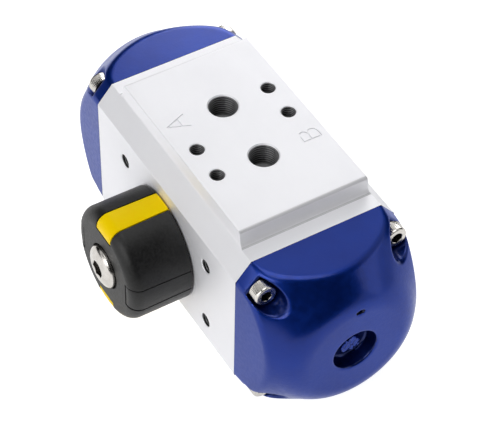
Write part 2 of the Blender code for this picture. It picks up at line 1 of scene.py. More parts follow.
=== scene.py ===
"""Rotary pneumatic actuator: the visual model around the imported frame, its light and its camera."""
import json
import math

import bmesh
import bpy
import numpy as np
from mathutils import Matrix, Vector


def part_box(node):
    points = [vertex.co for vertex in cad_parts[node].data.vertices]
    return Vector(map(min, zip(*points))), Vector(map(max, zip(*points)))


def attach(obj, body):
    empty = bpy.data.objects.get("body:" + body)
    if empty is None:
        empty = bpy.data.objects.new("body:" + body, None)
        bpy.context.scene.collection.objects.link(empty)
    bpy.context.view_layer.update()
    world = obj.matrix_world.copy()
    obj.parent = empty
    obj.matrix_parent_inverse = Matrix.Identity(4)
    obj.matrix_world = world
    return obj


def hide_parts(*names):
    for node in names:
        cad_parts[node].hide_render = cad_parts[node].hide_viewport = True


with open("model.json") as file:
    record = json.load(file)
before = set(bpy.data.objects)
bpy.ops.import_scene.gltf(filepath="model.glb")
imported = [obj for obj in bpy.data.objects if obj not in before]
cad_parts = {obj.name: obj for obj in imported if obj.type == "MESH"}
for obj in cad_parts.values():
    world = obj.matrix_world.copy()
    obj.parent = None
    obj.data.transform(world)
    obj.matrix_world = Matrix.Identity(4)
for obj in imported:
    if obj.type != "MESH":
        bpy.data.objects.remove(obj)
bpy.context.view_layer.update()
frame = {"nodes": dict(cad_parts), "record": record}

MM = 0.001
WELD = 0.002 * MM

# Sizes in metres. Those that the frame doesn't give directly are the pad's height and half width,
# and the run and the drop of the body's corner flats.
BODY_END, HALF_WIDTH, PAD_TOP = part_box("body")[1]
KNOB_LOW, KNOB_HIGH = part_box("indicator_knob")
AXIS = (KNOB_LOW[2] + KNOB_HIGH[2]) / 2
CAP_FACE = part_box("end_cap_right")[0][0]
CAP_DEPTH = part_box("end_cap_right")[1][0] - CAP_FACE
DECK = PAD_TOP - 5.5 * MM
PAD_HALF_WIDTH = 22.0 * MM
CORNER_ACROSS = 5.2 * MM
CORNER_DOWN = 6.3 * MM

# Sizes in millimetres: the cap screws in their pockets.
SCREW_GAP = 0.3
SCREW_HEAD = 4.0
POCKET_RADIUS = 4.3


def middle(node):
    """The centre of a frame node, in millimetres from the drive axis."""
    low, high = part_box(node)
    return (Vector(low) + Vector(high)) / 2 / MM - Vector((0, 0, AXIS / MM))


SCREW_ACROSS = abs(middle("cap_screw_right_1").y)
SCREW_RISE = (middle("cap_screw_right_1").z, middle("cap_screw_right_3").z)
SCREW_SEAT = (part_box("cap_screw_right_1")[1][0] - CAP_FACE) / MM - SCREW_HEAD - SCREW_GAP

FACING_UP = Matrix.Identity(4)
FACING_RIGHT = Matrix(((0, 0, 1, 0), (1, 0, 0, 0), (0, 1, 0, 0), (0, 0, 0, 1)))
FACING_LEFT = Matrix.Rotation(math.pi, 4, "Z") @ FACING_RIGHT
FACING_FRONT = Matrix.Rotation(math.pi / 2, 4, "X")
FACING_REAR = Matrix.Rotation(math.pi, 4, "Z") @ FACING_FRONT
ON_AXIS = Matrix.Translation((0, 0, AXIS)) @ FACING_FRONT
SIDES = (("right", FACING_RIGHT, 1), ("left", FACING_LEFT, -1))


# Mesh helpers: shapes are built in local millimetres, with local Z pointing out.

def extruded(outline, start, end):
    """A straight solid from an outline, between two heights."""
    shape = bmesh.new()
    face = shape.faces.new([shape.verts.new((x, y, start)) for x, y in outline])
    grown = bmesh.ops.extrude_face_region(shape, geom=[face])
    moved = [item for item in grown["geom"] if isinstance(item, bmesh.types.BMVert)]
    bmesh.ops.translate(shape, verts=moved, vec=(0, 0, end - start))
    bmesh.ops.recalc_face_normals(shape, faces=shape.faces)
    return shape


def turned(profile, segments=96, ring=False):
    """A turned solid from (radius, height) points. A ring's profile is closed."""
    shape = bmesh.new()
    points = [shape.verts.new((radius, 0, height)) for radius, height in profile]
    edges = [shape.edges.new(pair) for pair in zip(points, points[1:])]
    if ring:
        edges.append(shape.edges.new((points[-1], points[0])))
    bmesh.ops.spin(shape, geom=points + edges, cent=(0, 0, 0), axis=(0, 0, 1),
                   angle=2 * math.pi, steps=segments, use_merge=True)
    bmesh.ops.remove_doubles(shape, verts=shape.verts, dist=0.001)
    bmesh.ops.recalc_face_normals(shape, faces=shape.faces)
    return shape


def arc(centre, radius, start, end, steps):
    """Points on an arc, with angles in degrees."""
    points = []
    for step in range(steps + 1):
        angle = math.radians(start + (end - start) * step / steps)
        points.append((centre[0] + radius * math.cos(angle), centre[1] + radius * math.sin(angle)))
    return points


def filleted(corners, radii, steps=4):
    """A closed outline with each corner rounded to its own radius."""
    points = []
    count = len(corners)
    for index, (corner, radius) in enumerate(zip(corners, radii)):
        corner = Vector(corner)
        before = (Vector(corners[index - 1]) - corner).normalized()
        after = (Vector(corners[(index + 1) % count]) - corner).normalized()
        if radius == 0:
            points.append(tuple(corner))
            continue
        half = before.angle(after) / 2
        reach = radius / math.tan(half)
        centre = corner + (before + after).normalized() * (radius / math.sin(half))
        start = corner + before * reach - centre
        end = corner + after * reach - centre
        sweep = start.angle_signed(end)
        for step in range(steps + 1):
            turn = Matrix.Rotation(-sweep * step / steps, 2)
            points.append(tuple(centre + turn @ start))
    return points


def mesh_of(shape, name, matrix=FACING_UP, position=(0, 0, 0)):
    """A mesh in metres from a shape in millimetres, turned and moved into place."""
    place = Matrix.Translation(position) @ matrix @ Matrix.Scale(MM, 4)
    bmesh.ops.transform(shape, matrix=place, verts=shape.verts)
    mesh = bpy.data.meshes.new(name)
    shape.to_mesh(mesh)
    shape.free()
    return mesh


def evaluated(made):
    """The mesh of an object after its modifiers. The object is removed."""
    graph = bpy.context.evaluated_depsgraph_get()
    result = bpy.data.meshes.new_from_object(made.evaluated_get(graph))
    bpy.data.objects.remove(made, do_unlink=True)
    return result


def evenly_shaded(mesh, sharp):
    """Smooth shading whose normals follow the large faces, so that flats stay flat."""
    mesh.shade_smooth()
    mesh.set_sharp_from_angle(angle=math.radians(sharp))
    made = bpy.data.objects.new("shading", mesh)
    bpy.context.scene.collection.objects.link(made)
    modifier = made.modifiers.new("normals", "WEIGHTED_NORMAL")
    modifier.keep_sharp = True
    modifier.weight = 80
    return evaluated(made)


def piece(name, mesh, body, finish, nodes, sharp=35.0):
    """An object that stands for CAD nodes and moves with a body."""
    mesh = evenly_shaded(mesh, sharp)
    made = bpy.data.objects.new(name, mesh)
    bpy.context.scene.collection.objects.link(made)
    mesh.materials.clear()
    mesh.materials.append(finish)
    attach(made, body)
    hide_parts(*nodes)


def face_centres(mesh):
    """The middles of a mesh's faces, in millimetres."""
    centres = np.empty(len(mesh.polygons) * 3)
    mesh.polygons.foreach_get("center", centres)
    return centres.reshape(-1, 3) / MM


def painted(mesh, name, values):
    """Store one number per face, which a material reads by its name."""
    attribute = mesh.attributes.new(name, "FLOAT", "FACE")
    attribute.data.foreach_set("value", np.asarray(values, dtype=np.float32))


def welded(mesh):
    """A mesh with its nearly coincident points merged, so that no sliver faces are left."""
    shape = bmesh.new()
    shape.from_mesh(mesh)
    bmesh.ops.remove_doubles(shape, verts=shape.verts, dist=WELD)
    bmesh.ops.dissolve_degenerate(shape, edges=shape.edges, dist=WELD)
    stray = [edge for edge in shape.edges if not edge.link_faces]
    bmesh.ops.delete(shape, geom=stray, context="EDGES")
    shape.to_mesh(mesh)
    shape.free()
    return mesh


def combined(name, base, steps):
    """A mesh after a list of (operation, meshes) steps, as one exact solid."""
    target = bpy.data.objects.new(name, base)
    bpy.context.scene.collection.objects.link(target)
    extra = []
    for operation, meshes in steps:
        operands = bpy.data.collections.new(name + operation)
        bpy.context.scene.collection.children.link(operands)
        for mesh in meshes:
            operand = bpy.data.objects.new(mesh.name, mesh)
            operands.objects.link(operand)
            extra.append(operand)
        modifier = target.modifiers.new(operation, "BOOLEAN")
        modifier.operation = operation
        modifier.operand_type = "COLLECTION"
        modifier.collection = operands
        modifier.solver = "EXACT"
    result = evaluated(target)
    result.name = name
    for made in extra:
        bpy.data.objects.remove(made, do_unlink=True)
    for operation, _ in steps:
        bpy.data.collections.remove(bpy.data.collections[name + operation])
    return result


def ring_of(shape, radii, height):
    """Points round local Z at one height, one for each radius."""
    points = []
    for step, radius in enumerate(radii):
        angle = 2 * math.pi * step / len(radii)
        points.append(shape.verts.new((radius * math.cos(angle), radius * math.sin(angle), height)))
    return points


def skin(shape, rings):
    """Faces between each ring of points and the next."""
    for low, high in zip(rings, rings[1:]):
        for step in range(len(low)):
            after = (step + 1) % len(low)
            shape.faces.new((low[step], low[after], high[after], high[step]))


# Of an internal thread: how steep the groove's flanks are, how far its depth is cut off to a flat
# root, where the countersink starts as a share of the depth, and how far the cutter runs past the
# surface in millimetres.
THREAD_FLANK = 2.35
THREAD_ROOT = 1.15
MOUTH_START = 0.55
MOUTH_PAST = 0.1


def thread_cutter(minor, depth, pitch, length, mouth, segments=48, rows=6):
    """A drilled and tapped hole along local -Z: a helical groove with a countersunk mouth."""
    shape = bmesh.new()
    heights = [-length + pitch / rows * i for i in range(int(length / pitch * rows))]
    rings = []
    for height in heights:
        if height >= -mouth - 0.05:
            break
        fade = min(1.0, (height + length) / pitch)
        radii = []
        for step in range(segments):
            phase = (height / pitch - step / segments) % 1.0
            groove = max(0.0, 1.0 - abs(phase - 0.5) * THREAD_FLANK)
            radii.append(minor + depth * min(1.0, groove * THREAD_ROOT) * fade)
        rings.append(ring_of(shape, radii, height))
    start = minor + depth * MOUTH_START
    outer = start + mouth + MOUTH_PAST
    for radius, height in ((start, -mouth), (outer, MOUTH_PAST), (outer, 1.0)):
        rings.append(ring_of(shape, [radius] * segments, height))
    skin(shape, rings)
    tip = shape.verts.new((0, 0, -length - minor * 0.5))
    for step in range(segments):
        shape.faces.new((rings[0][(step + 1) % segments], rings[0][step], tip))
    shape.faces.new(rings[-1])
    bmesh.ops.recalc_face_normals(shape, faces=shape.faces)
    return shape


def stroke(points, width, depth, steps=8):
    """A round-ended groove along a line of points, cut from local z = 0 downwards."""
    left = []
    right = []
    line = [Vector(point) for point in points]
    for index, point in enumerate(line):
        ahead = line[min(index + 1, len(line) - 1)] - line[max(index - 1, 0)]
        side = Vector((-ahead.y, ahead.x)).normalized() * width / 2
        left.append(point + side)
        right.append(point - side)

    def rounded(centre, start):
        return [centre + Matrix.Rotation(-math.pi * s / steps, 2) @ start for s in range(1, steps)]

    outline = left + rounded(line[-1], left[-1] - line[-1])
    outline += right[::-1] + rounded(line[0], right[0] - line[0])
    return extruded([tuple(point) for point in outline], -depth, 0.5)


# Blended solids: a distance field in millimetres, meshed and pulled exactly onto its surface.

def blend_max(first, second, width):
    """The larger of two fields, rounded off over a width where they meet."""
    overlap = np.maximum(width - np.abs(first - second), 0.0)
    return np.maximum(first, second) + overlap * overlap / (4 * width)


def field_mesh(field, low, high, step):
    """Quads on the zero surface of a field, evened out and pulled onto it."""
    axes = [np.arange(a, b + step, step) for a, b in zip(low, high)]
    grid = np.stack(np.meshgrid(*axes, indexing="ij"), axis=-1)
    inside = field(grid.reshape(-1, 3)).reshape(grid.shape[:3]) < 0
    cells = np.zeros([n - 1 for n in inside.shape], dtype=np.int8)
    for corner in np.ndindex(2, 2, 2):
        cells += inside[tuple(slice(i, n - 1 + i) for i, n in zip(corner, inside.shape))]
    mixed = (cells > 0) & (cells < 8)
    number = np.full(mixed.shape, -1, dtype=np.int64)
    number[mixed] = np.arange(mixed.sum())
    points = np.argwhere(mixed) * step + np.array(low) + step / 2
    quads = []
    for axis in range(3):
        swapped = np.moveaxis(inside, (axis, (axis + 1) % 3, (axis + 2) % 3), (0, 1, 2))
        lookup = np.moveaxis(number, (axis, (axis + 1) % 3, (axis + 2) % 3), (0, 1, 2))
        change = swapped[:-1, 1:-1, 1:-1] != swapped[1:, 1:-1, 1:-1]
        a, b, c = np.nonzero(change)
        b, c = b + 1, c + 1
        quad = np.stack([lookup[a, b - 1, c - 1], lookup[a, b, c - 1],
                         lookup[a, b, c], lookup[a, b - 1, c]], 1)
        flip = ~swapped[a, b, c]
        quad[flip] = quad[flip][:, ::-1]
        quads.append(quad)
    quads = np.concatenate(quads)
    return settle(field, points, quads), quads


def pulled(field, p, delta=1e-3):
    """Points moved along the field's slope onto its zero surface."""
    for _ in range(4):
        value = field(p)
        slope = np.stack([(field(p + axis * delta) - value) / delta for axis in np.eye(3)], 1)
        size = np.maximum((slope * slope).sum(1), 0.25)
        p = p - slope * (value / size)[:, None]
    return p


def settle(field, points, quads, ease=0.6):
    """Ease each point towards its neighbours' middle and back onto the surface, three times."""
    pairs = np.concatenate([quads[:, [i, (i + 1) % 4]] for i in range(4)])
    first, second = pairs[:, 0], pairs[:, 1]
    total_points = len(points)
    count = np.bincount(first, minlength=total_points) + np.bincount(second, minlength=total_points)
    for _ in range(3):
        total = np.zeros_like(points)
        for axis in range(3):
            total[:, axis] = (np.bincount(first, points[second, axis], total_points)
                              + np.bincount(second, points[first, axis], total_points))
        points = points * (1 - ease) + total / np.maximum(count, 1)[:, None] * ease
        points = pulled(field, points)
    return points


def shape_of(points, quads):
    """A shape to edit from points and quads."""
    mesh = bpy.data.meshes.new("field")
    mesh.from_pydata(points.tolist(), [], quads.tolist())
    shape = bmesh.new()
    shape.from_mesh(mesh)
    bpy.data.meshes.remove(mesh)
    return shape


# Materials

class Nodes:
    """A short way to write a material's node graph."""

    def __init__(self, name, **sockets):
        self.material = bpy.data.materials.new(name)
        self.material.use_nodes = True
        self.tree = self.material.node_tree
        self.shader = self.tree.nodes["Principled BSDF"]
        for socket, value in sockets.items():
            self.shader.inputs[socket.replace("_", " ")].default_value = value
        self.coords = self.tree.nodes.new("ShaderNodeTexCoord").outputs["Object"]

    def link(self, output, target):
        self.tree.links.new(output, target)

    def stretched(self, scale):
        """Object coordinates with a scale for each axis."""
        node = self.tree.nodes.new("ShaderNodeMapping")
        node.inputs["Scale"].default_value = scale
        self.link(self.coords, node.inputs["Vector"])
        return node.outputs["Vector"]

    def noise(self, scale, detail=3.0, vector=None):
        node = self.tree.nodes.new("ShaderNodeTexNoise")
        node.inputs["Scale"].default_value = scale
        node.inputs["Detail"].default_value = detail
        self.link(vector or self.coords, node.inputs["Vector"])
        return node.outputs["Fac"]

    def ramp(self, value, low, high, start=0.35, end=0.65):
        """From low to high while a value goes from start to end."""
        node = self.tree.nodes.new("ShaderNodeMapRange")
        node.inputs["From Min"].default_value = start
        node.inputs["From Max"].default_value = end
        node.inputs["To Min"].default_value = low
        node.inputs["To Max"].default_value = high
        self.link(value, node.inputs["Value"])
        return node.outputs["Result"]

    def mix(self, factor, first, second):
        """From a colour, or a colour socket, to a second colour."""
        node = self.tree.nodes.new("ShaderNodeMix")
        node.data_type = "RGBA"
        if isinstance(first, tuple):
            node.inputs["A"].default_value = (*first, 1.0)
        else:
            self.link(first, node.inputs["A"])
        node.inputs["B"].default_value = (*second, 1.0)
        self.link(factor, node.inputs["Factor"])
        return node.outputs["Result"]

    def maths(self, operation, *values):
        """A math node whose inputs are sockets or numbers."""
        node = self.tree.nodes.new("ShaderNodeMath")
        node.operation = operation
        for slot, value in zip(node.inputs, values):
            if isinstance(value, (int, float)):
                slot.default_value = value
            else:
                self.link(value, slot)
        return node.outputs["Value"]

    def add(self, first, second):
        return self.maths("ADD", first, second)

    def per_face(self, name):
        """A number that painted() stored."""
        node = self.tree.nodes.new("ShaderNodeAttribute")
        node.attribute_name = name
        return node.outputs["Fac"]

    def bump(self, height, distance):
        node = self.tree.nodes.new("ShaderNodeBump")
        node.inputs["Distance"].default_value = distance
        self.link(height, node.inputs["Height"])
        self.link(node.outputs["Normal"], self.shader.inputs["Normal"])

    def to(self, output, socket):
        """Drive one of the shader's sockets."""
        self.link(output, self.shader.inputs[socket])


def anodised():
    """Clear-anodised extrusion: fine die lines along X over a satin surface, with painted shade per
    face.
    """
    nodes = Nodes("anodised_aluminium", Metallic=0.6)
    lines = nodes.noise(1.0, 2.0, nodes.stretched((30.0, 5200.0, 5200.0)))
    cloud = nodes.noise(45.0, 4.0)
    grain = nodes.noise(2600.0, 2.0)
    clear = nodes.mix(nodes.ramp(cloud, 0.0, 1.0), (0.92, 0.92, 0.95), (0.95, 0.95, 0.98))
    # The base colour darkens to near black by the painted shade stored per face.
    nodes.to(nodes.mix(nodes.per_face("shade"), clear, (0.003, 0.003, 0.003)), "Base Color")
    nodes.to(nodes.ramp(lines, 0.50, 0.60), "Roughness")
    nodes.bump(nodes.add(nodes.ramp(lines, 0.0, 0.6), nodes.ramp(grain, 0.0, 0.4)), 0.00001)
    return nodes.material


def blue_moulding():
    """Semi-gloss blue with a coloured sheen and a fine grain, with painted shade per face."""
    nodes = Nodes("blue_cap", Metallic=0.8, Coat_Weight=0.5, Coat_Roughness=0.17)
    nodes.shader.inputs["Specular Tint"].default_value = (0.5, 0.58, 1.0, 1.0)
    cloud = nodes.noise(70.0, 4.0)
    grain = nodes.noise(1900.0, 3.0)
    speck = nodes.noise(700.0, 2.0)
    blue = nodes.mix(nodes.ramp(cloud, 0.0, 1.0), (0.001, 0.023, 0.235), (0.002, 0.029, 0.270))
    # The base colour darkens by the painted shade stored per face.
    nodes.to(nodes.mix(nodes.per_face("shade"), blue, (0.000, 0.001, 0.006)), "Base Color")
    rough = nodes.ramp(speck, 0.30, 0.38)
    nodes.to(nodes.maths("MULTIPLY_ADD", nodes.per_face("gloss"), -0.22, rough), "Roughness")
    nodes.bump(nodes.add(nodes.ramp(grain, 0.0, 0.7), nodes.ramp(speck, 0.0, 0.6)), 0.000014)
    return nodes.material


def stainless():
    """Bright steel with short scratches, with painted shade in the sockets."""
    nodes = Nodes("stainless_steel", Metallic=1.0)
    cloud = nodes.noise(400.0, 3.0)
    scratch = nodes.noise(1.0, 2.0, nodes.stretched((1500.0, 9000.0, 9000.0)))
    steel = nodes.mix(nodes.ramp(cloud, 0.0, 1.0), (0.66, 0.63, 0.59), (0.76, 0.73, 0.69))
    # The base colour darkens by the painted shade in the sockets.
    nodes.to(nodes.mix(nodes.per_face("shade"), steel, (0.02, 0.02, 0.02)), "Base Color")
    nodes.to(nodes.ramp(scratch, 0.16, 0.28), "Roughness")
    nodes.bump(scratch, 0.000004)
    return nodes.material


def moulded(name, low, high, roughness, tint=(1.0, 1.0, 1.0), ior=1.5, texture=0.000018):
    """Plastic or rubber with a fine moulded grain."""
    nodes = Nodes(name, IOR=ior)
    nodes.shader.inputs["Specular Tint"].default_value = (*tint, 1.0)
    cloud = nodes.noise(120.0, 3.0)
    grain = nodes.noise(1300.0, 4.0)
    mottle = nodes.ramp(nodes.add(cloud, grain), 0.0, 1.0, 0.8, 1.2)
    nodes.to(nodes.mix(mottle, low, high), "Base Color")
    nodes.to(nodes.ramp(grain, roughness - 0.04, roughness + 0.05), "Roughness")
    nodes.bump(grain, texture)
    return nodes.material


def turned_metal(name, low, high, roughness):
    """Machined metal with fine tool marks."""
    nodes = Nodes(name, Metallic=1.0)
    cloud = nodes.noise(200.0, 3.0)
    marks = nodes.noise(1.0, 2.0, nodes.stretched((2500.0, 300.0, 300.0)))
    nodes.to(nodes.mix(nodes.ramp(cloud, 0.0, 1.0), low, high), "Base Color")
    nodes.to(nodes.ramp(marks, roughness - 0.06, roughness + 0.08), "Roughness")
    nodes.bump(marks, 0.000008)
    return nodes.material


ANODISED = anodised()
BLUE = blue_moulding()
STAINLESS = stainless()
BLACK = moulded("black_plastic", (0.001, 0.001, 0.001), (0.010, 0.010, 0.010), 0.44,
                ior=1.47, texture=0.00005)
YELLOW = moulded("yellow_plastic", (1.00, 0.68, 0.000), (1.00, 0.72, 0.001), 0.45,
                 (1.0, 0.80, 0.02), 1.38)
RUBBER = moulded("seal_rubber", (0.016, 0.016, 0.017), (0.024, 0.024, 0.025), 0.62)
BEARING = moulded("bearing_plastic", (0.74, 0.71, 0.62), (0.80, 0.77, 0.68), 0.48)
PISTON = turned_metal("piston_aluminium", (0.56, 0.57, 0.58), (0.63, 0.64, 0.65), 0.38)
STEEL = turned_metal("drive_steel", (0.40, 0.40, 0.41), (0.47, 0.47, 0.48), 0.32)


# Body: places and lengths in millimetres

# The milled ends of the pad: where each starts, then the X and the radius of its top edge and of
# the fillet below.
MILL_START = 33.6
MILL_EDGE = (34.0, 1.3)
MILL_FILLET = (37.5, 1.9)

# Smaller radius, thread depth, pitch and mouth of the tapped holes, and their length.
PORT_THREAD = (4.28, 0.58, 0.907, 0.35)
SCREW_THREAD = (2.1, 0.38, 0.8, 0.2)
THREAD_LENGTH = 8.0

# Half the spacings of the ports and of the threads beside the indicator, and the radius of the
# valve flange's bolt circle and of the piston bore.
PORT_X = 12
FRONT_X, FRONT_Z = 25, 12.5
FLANGE_RADIUS = 21
BORE_RADIUS = 18.0

# The shaft's holes as (radius, distance from the drive axis). The rear one ends in the flange's
# recess.
FRONT_HOLE = [(0, 0), (9.0, 0), (9.0, 27.2), (9.4, 27.6), (9.4, 29), (0, 29)]
REAR_HOLE = [(0, 0), (11.5, 0), (11.5, 26.0), (15.0, 26.0), (15.0, 27.2), (15.35, 27.55),
             (15.35, 29), (0, 29)]

# The width and the depth of the port marks' grooves.
LETTER_STROKE = (0.42, 0.28)

# Painted shade, from 0 to 1, on a thread's crests and on the milled edges at the pad's top and
# foot, where shade falls. A thread's roots are at 1.
CREST_SHADE = 0.68
TOP_EDGE_SHADE = 0.12
FOOT_SHADE = 0.3


def body_outline():
    """The extrusion's section in Y and Z, with the pad's walls running into the corner flats."""
    width = HALF_WIDTH / MM
    deck = DECK / MM
    top = PAD_TOP / MM
    pad = PAD_HALF_WIDTH / MM
    across = CORNER_ACROSS / MM
    down = CORNER_DOWN / MM
    foot = deck + (width - across - pad) * down / across
    right = [(width - across, 0), (width, down), (width, deck - down), (pad, foot), (pad, top)]
    radii = [0.5, 0.5, 0.5, 1.6, 0.25]
    corners = right + [(-y, z) for y, z in reversed(right)]
    return filleted(corners, radii + radii[::-1])


def end_mill_outline():
    """What is milled off one end of the pad, in X and Z."""
    deck = DECK / MM
    top = PAD_TOP / MM
    end = BODY_END / MM
    x, radius = MILL_EDGE
    edge = arc((x, top - radius), radius, 92, 6, 8)
    x, radius = MILL_FILLET
    fillet = arc((x, deck + radius), radius, 187, 270, 8)
    return [(MILL_START, top + 1)] + edge + fillet + [(end + 1, deck), (end + 1, top + 1)]


def letter_a():
    """The strokes of the port mark A, in X and Y on the pad."""
    foot = -12.6
    apex = (-12.3, -19.2)
    low = (-14.95, foot)
    high = (-9.65, foot)
    bar = 0.36
    left = (low[0] + (apex[0] - low[0]) * bar, low[1] + (apex[1] - low[1]) * bar)
    right = (high[0] + (apex[0] - high[0]) * bar, high[1] + (apex[1] - high[1]) * bar)
    return [[apex, low], [apex, high], [left, right]]


def letter_b():
    """The strokes of the port mark B, in X and Y on the pad."""
    spine = 13.4
    low, waist, high = 13.4, 16.2, 19.4
    bowls = []
    for start, end in ((low, waist), (waist, high)):
        rounded = [(spine - 1.7 + 2.2 * x, (start + end) / 2 + (end - start) / 2 * y)
                   for x, y in arc((0, 0), 1.0, -90, -270, 14)]
        bowls.append([(spine, start)] + rounded + [(spine, end)])
    return [[(spine, low), (spine, high)]] + bowls


def tapped_holes():
    """Place, direction and thread sizes of every tapped hole."""
    holes = [((x * MM, 0, PAD_TOP), FACING_UP, *PORT_THREAD) for x in (-PORT_X, PORT_X)]
    for x, y in ((-12, 16), (0, 16), (0, -16), (12, -16)):
        holes.append(((x * MM, y * MM, PAD_TOP), FACING_UP, *SCREW_THREAD))
    for x in (-FRONT_X, FRONT_X):
        for z in (-FRONT_Z, FRONT_Z):
            holes.append(((x * MM, -HALF_WIDTH, AXIS + z * MM), FACING_FRONT, *SCREW_THREAD))
    for quarter in range(4):
        angle = math.pi / 4 + quarter * math.pi / 2
        place = (FLANGE_RADIUS * MM * math.cos(angle), HALF_WIDTH,
                 AXIS + FLANGE_RADIUS * MM * math.sin(angle))
        holes.append((place, FACING_REAR, *SCREW_THREAD))
    return holes


def body_shade(centres, holes):
    """The painted shade of each face: thread roots and joint faces most, then the pad's milled edges.
    """
    end = BODY_END / MM - 0.02
    across = np.abs(centres[:, 0])
    height = centres[:, 2]
    shade = np.where(across > end, 1.0, 0.0)
    for place, facing, minor, depth, _, mouth in holes:
        local = (centres - np.array(place) / MM) @ np.array(facing.to_3x3())
        radius = np.hypot(local[:, 0], local[:, 1])
        within = (radius < minor + depth + 0.05) & (local[:, 2] < -mouth)
        within &= local[:, 2] > -THREAD_LENGTH - minor
        towards_root = np.clip((radius[within] - minor) / (0.7 * depth), 0, 1)
        shade[within] = CREST_SHADE + (1 - CREST_SHADE) * towards_root
    milled = (across > MILL_START - 1.0) & (across < end)
    shade[milled & (height > PAD_TOP / MM - 0.8) & (height < PAD_TOP / MM - 0.03)] = TOP_EDGE_SHADE
    shade[milled & (height > DECK / MM + 0.05) & (height < DECK / MM + 0.35)] = FOOT_SHADE
    return shade


def make_body():
    """The extrusion with its milled ends, tapped holes, bores and port marks."""
    end = BODY_END / MM
    base = mesh_of(extruded(body_outline(), -end, end), "extrusion", FACING_RIGHT)
    cutters = []
    for turn in (0, math.pi):
        facing = Matrix.Rotation(turn, 4, "Z") @ FACING_FRONT
        cutters.append(mesh_of(extruded(end_mill_outline(), -40, 40), "end_mill", facing))
    holes = tapped_holes()
    for number, (place, facing, minor, depth, pitch, mouth) in enumerate(holes):
        cutter = thread_cutter(minor, depth, pitch, THREAD_LENGTH, mouth, 72 if minor > 3 else 40)
        cutters.append(mesh_of(cutter, f"tapped_hole_{number}", facing, place))
    axis = (0, 0, AXIS)
    bore = turned([(0, -45), (BORE_RADIUS, -45), (BORE_RADIUS, 45), (0, 45)], 120)
    cutters.append(mesh_of(bore, "bore", FACING_RIGHT, axis))
    cutters.append(mesh_of(turned(FRONT_HOLE, 96), "front_hole", FACING_FRONT, axis))
    cutters.append(mesh_of(turned(REAR_HOLE, 120), "rear_hole", FACING_REAR, axis))
    for line in letter_a() + letter_b():
        cutters.append(mesh_of(stroke(line, *LETTER_STROKE), "stroke", FACING_UP, (0, 0, PAD_TOP)))
    mesh = combined("actuator_body", base, [("DIFFERENCE", cutters)])
    # Painted shade in the holes, on the joint faces and on the milled edges, darkening the base
    # colour.
    painted(mesh, "shade", body_shade(face_centres(mesh), holes))
    piece("actuator_body", mesh, "housing", ANODISED, ["body"])


# End caps: local millimetres, x across, y up from the drive axis, z out from the joint

# The box that a cap is meshed in, and its grid's step.
CAP_LOW = (-28.2, -27.4, -0.9)
CAP_HIGH = (28.2, 29.6, 24.3)
CAP_STEP = 0.4

# How much closer to the body the joint face comes than the CAD's.
CAP_REACH = 0.2

# How far the cap's sides lean in for each millimetre out, and the widths over which its surfaces
# blend.
LEAN = 0.07
FLAT_FILLET = 0.6
CORNER_FILLET = 0.9
NOSE_FILLET = 4.5
SHOULDER_FILLET = 1.1
POCKET_FILLETS = (0.6, 0.8)
RECESS_FILLETS = (1.0, 0.7)
BOSS_FILLETS = (0.8, 0.9)

# The recess in the nose, with its rough boss, and the notch above it: middle and half sizes.
RECESS_RADIUS = 7.5
RECESS_DEPTH = 4.8
RECESS_TAPER = 0.16
BOSS_RADIUS = 3.1
BOSS_HEIGHT = 2.3
NOTCH_PLACE = (0.8, 16.8)
NOTCH_SIZE = (1.5, 0.8, 1.1)
NOTCH_FILLET = 0.25

# Painted shade, from 0 to 1, on the screw pockets' walls and floors, in the recess and in the notch.
POCKET_SHADE = 0.35
POCKET_FLOOR_SHADE = 0.95
RECESS_SHADE = 0.6
NOTCH_SHADE = 0.9

# The radius of the flared part against the distance from the joint.
FLARE = np.polyfit([0, 2.4, 5, 7.8, 10.4, 12.8, 15.3, 18, 20.4, 22, 23.5, 25],
                   [37.2, 36.4, 35.3, 33.8, 32, 30, 27.5, 25, 23, 21.9, 21.0, 20.2], 5)
FLARE_SLOPE = np.polyder(FLARE)


def cap_flats(across, up, out):
    """The octagon that carries on the body's section, leaning in."""
    lean = LEAN * out
    top = (DECK - AXIS) / MM - lean
    bottom = AXIS / MM - lean
    side = HALF_WIDTH / MM - lean
    run = CORNER_ACROSS / MM
    drop = CORNER_DOWN / MM
    size = math.hypot(run, drop)
    flats = np.maximum(blend_max(across - side, up - top, FLAT_FILLET),
                       blend_max(across - side, -up - bottom, FLAT_FILLET))
    for rise, limit in ((up, top), (-up, bottom)):
        corner = (drop * (across - side) + run * (rise - limit + drop)) / size
        flats = blend_max(flats, corner, CORNER_FILLET)
    return flats


def boss_field(p, floor):
    """The boss in the recess, three-lobed, with a rough top."""
    x, up, out = p[:, 0], p[:, 1], p[:, 2]
    rough = 0.2 * np.sin(x * 2.6 + 1.0) * np.sin(up * 2.3 + 0.4)
    rough = rough + 0.12 * np.sin(x * 4.3 + up * 3.1)
    boss = np.hypot(x * 0.9, up * 1.05) - BOSS_RADIUS + 0.25 * np.sin(3 * np.arctan2(up, x))
    boss = blend_max(boss, out - (floor + BOSS_HEIGHT + rough), BOSS_FILLETS[0])
    return np.maximum(boss, floor - 1 - out)


